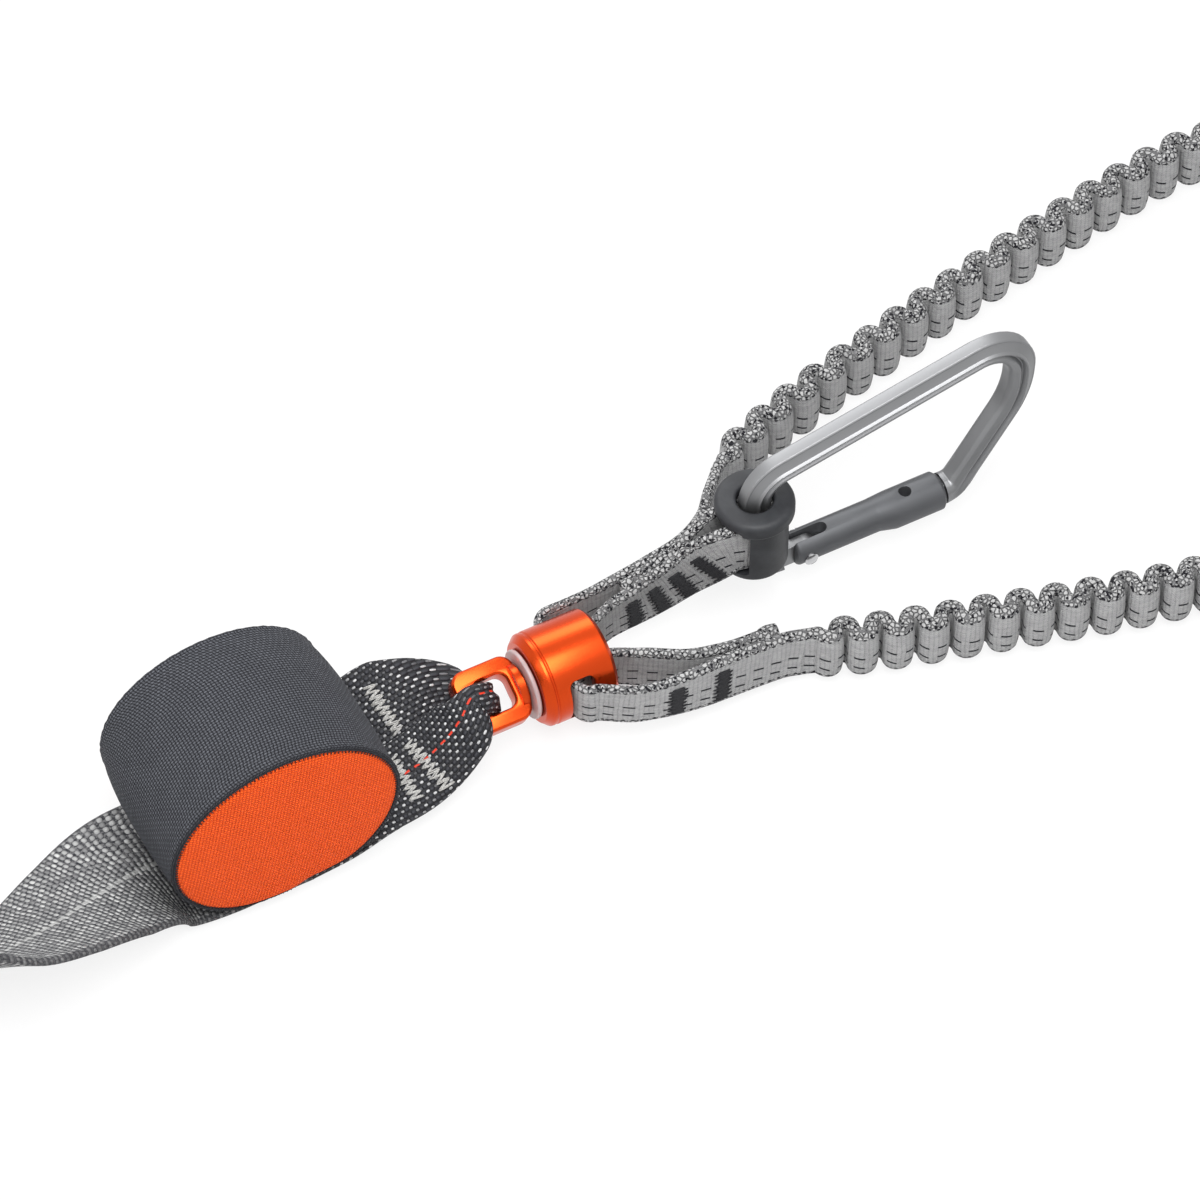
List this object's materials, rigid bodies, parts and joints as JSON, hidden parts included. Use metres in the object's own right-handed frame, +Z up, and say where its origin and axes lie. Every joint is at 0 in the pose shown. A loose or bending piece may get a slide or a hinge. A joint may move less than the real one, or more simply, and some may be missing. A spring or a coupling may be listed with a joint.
{
  "type": "via ferrata lanyard",
  "caption": "Y-shaped via ferrata lanyard: tear-webbing absorber in a pouch, swivel, short leash with a carabiner, and two elastic arms with locking connectors.",
  "frame": {"origin": "middle of the webbing's flat underside below the pouch, on the surface that the lanyard lies on", "axes": "+X from the absorber along the load line to the connectors, +Z up from the surface, +Y across toward the short leash's side"},
  "size_m": [0.6517, 0.2111, 0.0631],
  "materials": {
    "charcoal_cloth": "woven, matte",
    "orange_cloth": "woven, matte",
    "grey_webbing": "coarse woven webbing",
    "black_webbing": "coarse woven webbing with pale dashes",
    "grey_band": "knitted elastic band with dark dashes",
    "orange_anodised": "anodised, satin",
    "pale_nylon": "translucent nylon",
    "bright_steel": "bright",
    "satin_silver": "satin anodised",
    "grey_anodised": "satin anodised, dark grey",
    "black_rubber": "matte"
  },
  "bodies": {
    "absorber": {"tie_in_webbing": "grey_webbing", "pouch_side_band": "charcoal_cloth", "pouch_front_panel": "orange_cloth", "pouch_back_panel": "orange_cloth", "tear_pack": "black_webbing", "absorber_loop_webbing": "black_webbing", "swivel_eye": "orange_anodised", "eye_washer": "pale_nylon", "thrust_washer": "bright_steel", "stem_nut": "bright_steel"},
    "swivel": {"swivel_barrel": "orange_anodised", "upper_loop_webbing": "grey_band", "lower_loop_webbing": "grey_band", "upper_elastic_arm": "grey_band", "lower_elastic_arm": "grey_band", "leash_keeper": "black_rubber"},
    "leash_carabiner": {"leash_frame": "satin_silver", "leash_rivet": "bright_steel"},
    "leash_gate": {"leash_gate": "grey_anodised", "leash_plunger": "bright_steel"},
    "upper_end": {"upper_end_loop": "grey_band", "upper_keeper": "black_rubber"},
    "upper_connector": {"upper_frame": "satin_silver", "upper_rivet": "bright_steel", "upper_lever_pin": "bright_steel"},
    "upper_connector_gate": {"upper_gate": "grey_anodised", "upper_plunger": "bright_steel"},
    "upper_connector_lever": {"upper_lever": "grey_anodised"},
    "lower_end": {"lower_end_loop": "grey_band", "lower_keeper": "black_rubber"},
    "lower_connector": {"lower_frame": "satin_silver", "lower_rivet": "bright_steel", "lower_lever_pin": "bright_steel"},
    "lower_connector_gate": {"lower_gate": "grey_anodised", "lower_plunger": "bright_steel"},
    "lower_connector_lever": {"lower_lever": "grey_anodised"}
  },
  "joints": [
    {"name": "swivel_spin", "type": "hinge", "parent": "absorber", "child": "swivel", "pos_m": [0.088, 0, 0.013], "axis": [1, 0, 0], "continuous": true},
    {"name": "leash_swing", "type": "hinge", "parent": "swivel", "child": "leash_carabiner", "pos_m": [0.1465, 0.0075, 0.027], "axis": [0, 0, 1], "range_deg": [-25, 25]},
    {"name": "leash_gate_open", "type": "hinge", "parent": "leash_carabiner", "child": "leash_gate", "pos_m": [0.161, 0.0075, 0.0105], "axis": [0, -1, 0], "range_deg": [0, 28], "stiffness_Nm_per_rad": 0.3, "springref_deg": -11.46},
    {"name": "upper_arm_stretch", "type": "slide", "parent": "swivel", "child": "upper_end", "axis": [1, 0, 0], "range_m": [0, 0.11], "stiffness_N_per_m": 120, "springref_m": -0.02, "deforming": ["upper_elastic_arm"]},
    {"name": "upper_connector_swing", "type": "hinge", "parent": "upper_end", "child": "upper_connector", "pos_m": [0.37, 0.076, 0.0106], "axis": [0, 1, 0], "range_deg": [-60, 60]},
    {"name": "upper_gate_open", "type": "hinge", "parent": "upper_connector", "child": "upper_connector_gate", "pos_m": [0.38397, 0.053, 0.00966], "axis": [0.0671, 0, 0.9977], "range_deg": [0, 28], "stiffness_Nm_per_rad": 0.3, "springref_deg": -11.46},
    {"name": "upper_lever_press", "type": "hinge", "parent": "upper_connector", "child": "upper_connector_lever", "pos_m": [0.3858, 0.10029, 0.00954], "axis": [-0.0671, 0, -0.9977], "range_deg": [0, 3.5], "stiffness_Nm_per_rad": 0.5, "springref_deg": -5.73},
    {"name": "lower_arm_stretch", "type": "slide", "parent": "swivel", "child": "lower_end", "axis": [1, 0, 0], "range_m": [0, 0.11], "stiffness_N_per_m": 120, "springref_m": -0.02, "deforming": ["lower_elastic_arm"]},
    {"name": "lower_connector_swing", "type": "hinge", "parent": "lower_end", "child": "lower_connector", "pos_m": [0.362, -0.0559, 0.0106], "axis": [0, 1, 0], "range_deg": [-60, 60]},
    {"name": "lower_gate_open", "type": "hinge", "parent": "lower_connector", "child": "lower_connector_gate", "pos_m": [0.37597, -0.0329, 0.00966], "axis": [-0.0671, 0, -0.9977], "range_deg": [0, 28], "stiffness_Nm_per_rad": 0.3, "springref_deg": -11.46},
    {"name": "lower_lever_press", "type": "hinge", "parent": "lower_connector", "child": "lower_connector_lever", "pos_m": [0.3778, -0.08019, 0.00954], "axis": [0.0671, 0, 0.9977], "range_deg": [0, 3.5], "stiffness_Nm_per_rad": 0.5, "springref_deg": -5.73}
  ]
}
